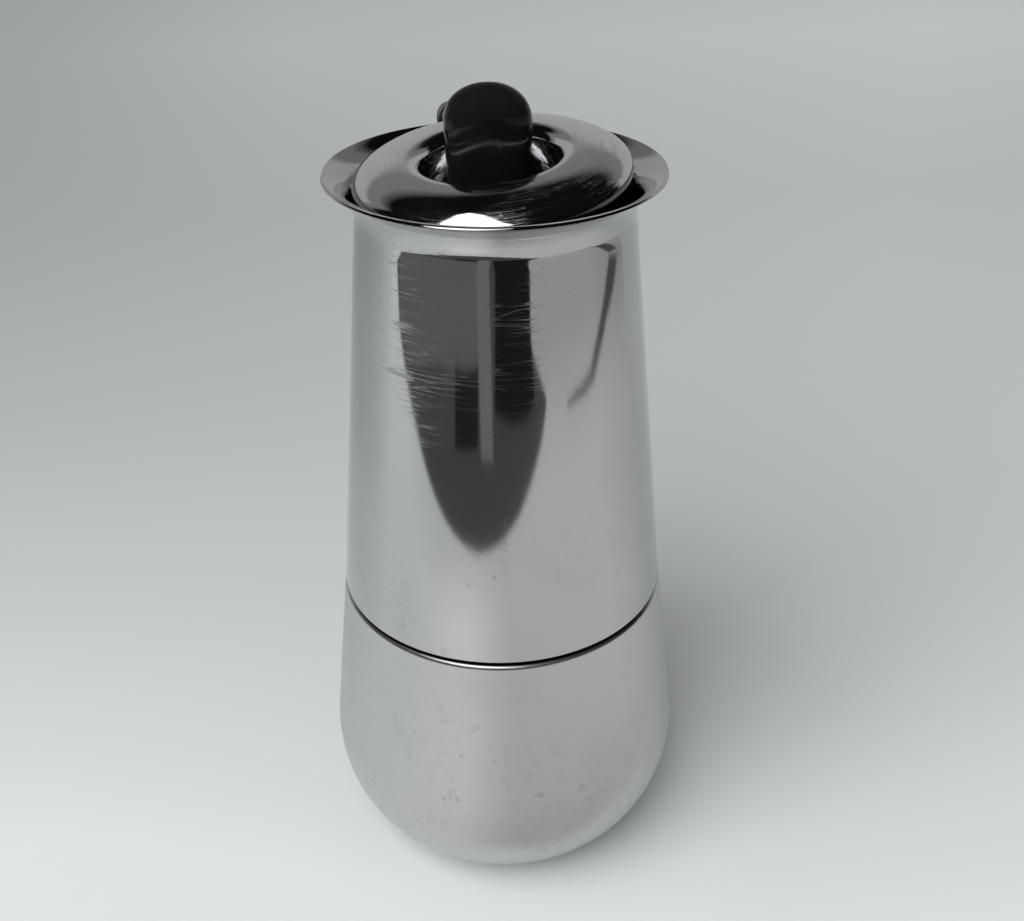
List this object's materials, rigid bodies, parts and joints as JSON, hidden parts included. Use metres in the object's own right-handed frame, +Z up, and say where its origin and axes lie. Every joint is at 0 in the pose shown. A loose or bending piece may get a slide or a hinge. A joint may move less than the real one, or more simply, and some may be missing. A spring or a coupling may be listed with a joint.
{
  "type": "moka pot",
  "caption": "Stovetop coffee maker: round-bellied boiler, tall tapered collector with a flared mouth, sunken hinged lid with upright knob, and a moulded bow handle.",
  "frame": {"origin": "centre of the flat base, on the table", "axes": "+Z up along the pot's axis; +Y from the axis towards the handle and the lid's hinge; +X to the right when the handle points away"},
  "size_m": [0.0914, 0.1154, 0.1988],
  "materials": {
    "steel_polished": "polished, with fine turning scratches",
    "steel_boiler": "satin, with soft blotches",
    "steel_lid": "mirror polished",
    "steel_inner": "satin",
    "bakelite": "glossy black moulding",
    "rubber": "matt off-white",
    "fibre": "matt red",
    "brass": "machined"
  },
  "bodies": {
    "boiler": {"boiler_shell": "steel_boiler", "boiler_neck": "steel_inner", "valve_body": "brass", "valve_washer": "fibre", "valve_nut": "brass", "valve_spring": "steel_inner"},
    "valve_plunger": {"valve_stem": "steel_inner"},
    "funnel": {"funnel_basket": "steel_inner", "basket_sieve": "steel_inner", "funnel_stem": "steel_inner"},
    "gasket_set": {"gasket": "rubber", "filter_plate": "steel_inner"},
    "collector": {"collector_shell": "steel_polished", "collector_floor": "steel_inner", "thread_ring": "steel_inner", "column": "steel_inner", "column_cap": "steel_inner", "handle_bracket": "steel_polished", "handle_grip": "bakelite", "handle_screw": "steel_inner", "hinge_pin": "steel_inner"},
    "lid": {"lid_strap": "steel_polished", "lid_disc": "steel_lid", "knob": "bakelite", "knob_ferrule": "steel_lid", "knob_insert": "brass", "knob_screw": "steel_inner", "knob_washer": "steel_inner"}
  },
  "joints": [
    {"name": "collector_lift", "type": "slide", "parent": "boiler", "child": "gasket_set", "axis": [0, 0, 1], "range_m": [0, 0.15]},
    {"name": "collector_unscrew", "type": "hinge", "parent": "gasket_set", "child": "collector", "pos_m": [0, 0, 0.078], "axis": [0, 0, 1], "range_deg": [0, 540]},
    {"name": "lid_hinge", "type": "hinge", "parent": "collector", "child": "lid", "pos_m": [0, 0.0422, 0.1805], "axis": [-1, 0, 0], "range_deg": [0, 105]},
    {"name": "funnel_lift", "type": "slide", "parent": "boiler", "child": "funnel", "axis": [0, 0, 1], "range_m": [0, 0.092]},
    {"name": "valve_pop", "type": "slide", "parent": "boiler", "child": "valve_plunger", "axis": [0.766, 0.6428, 0], "range_m": [0, 0.001], "stiffness_N_per_m": 2000}
  ],
  "couplings": [
    {"joint": "funnel_lift", "follows": "collector_lift", "ratio": 0.6133}
  ]
}
